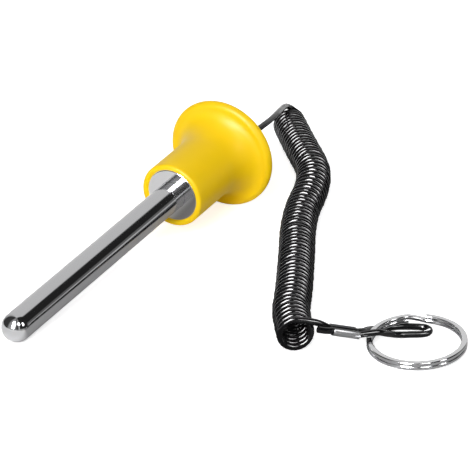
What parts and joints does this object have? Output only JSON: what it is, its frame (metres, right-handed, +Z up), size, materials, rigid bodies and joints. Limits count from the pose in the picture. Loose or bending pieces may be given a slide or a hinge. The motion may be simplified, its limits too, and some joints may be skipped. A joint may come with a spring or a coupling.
{
  "type": "weight stack pin",
  "caption": "Magnetic weight stack selector pin with a domed steel shaft, flared yellow knob, coiled black lanyard and split ring.",
  "frame": {"origin": "on the table, below the middle of the pin itself, from its tip to the back of its knob", "axes": "+X from the tip of the shaft towards the knob, level with the table; +Z up; the shaft leans up towards the knob by 6.4 degrees in the XZ plane; the lanyard lies on the -Y side"},
  "size_m": [0.208, 0.1494, 0.0395],
  "materials": {
    "polished_steel": "polished",
    "mirror_plate": "mirror nickel plate",
    "magnet": "dull grey ceramic",
    "plain_steel": "plain",
    "yellow_moulding": "soft gloss moulded",
    "black_cord": "gloss, coiled",
    "ferrule_metal": "satin",
    "ring_steel": "polished"
  },
  "bodies": {
    "pin": {"shaft": "polished_steel", "pole_plate": "mirror_plate", "ring_magnet": "magnet", "back_plate": "plain_steel", "knob": "yellow_moulding", "cord_stop": "plain_steel", "lanyard_lead": "black_cord", "lanyard_coil": "black_cord", "lanyard_end": "black_cord", "crimp_ferrule": "ferrule_metal"},
    "ring": {"split_ring": "ring_steel"}
  },
  "joints": [
    {"name": "ring_spin", "type": "hinge", "parent": "pin", "child": "ring", "pos_m": [-0.0077, -0.1136, 0.00282], "axis": [-0.0941, -0.014, 0.9955], "continuous": true}
  ]
}
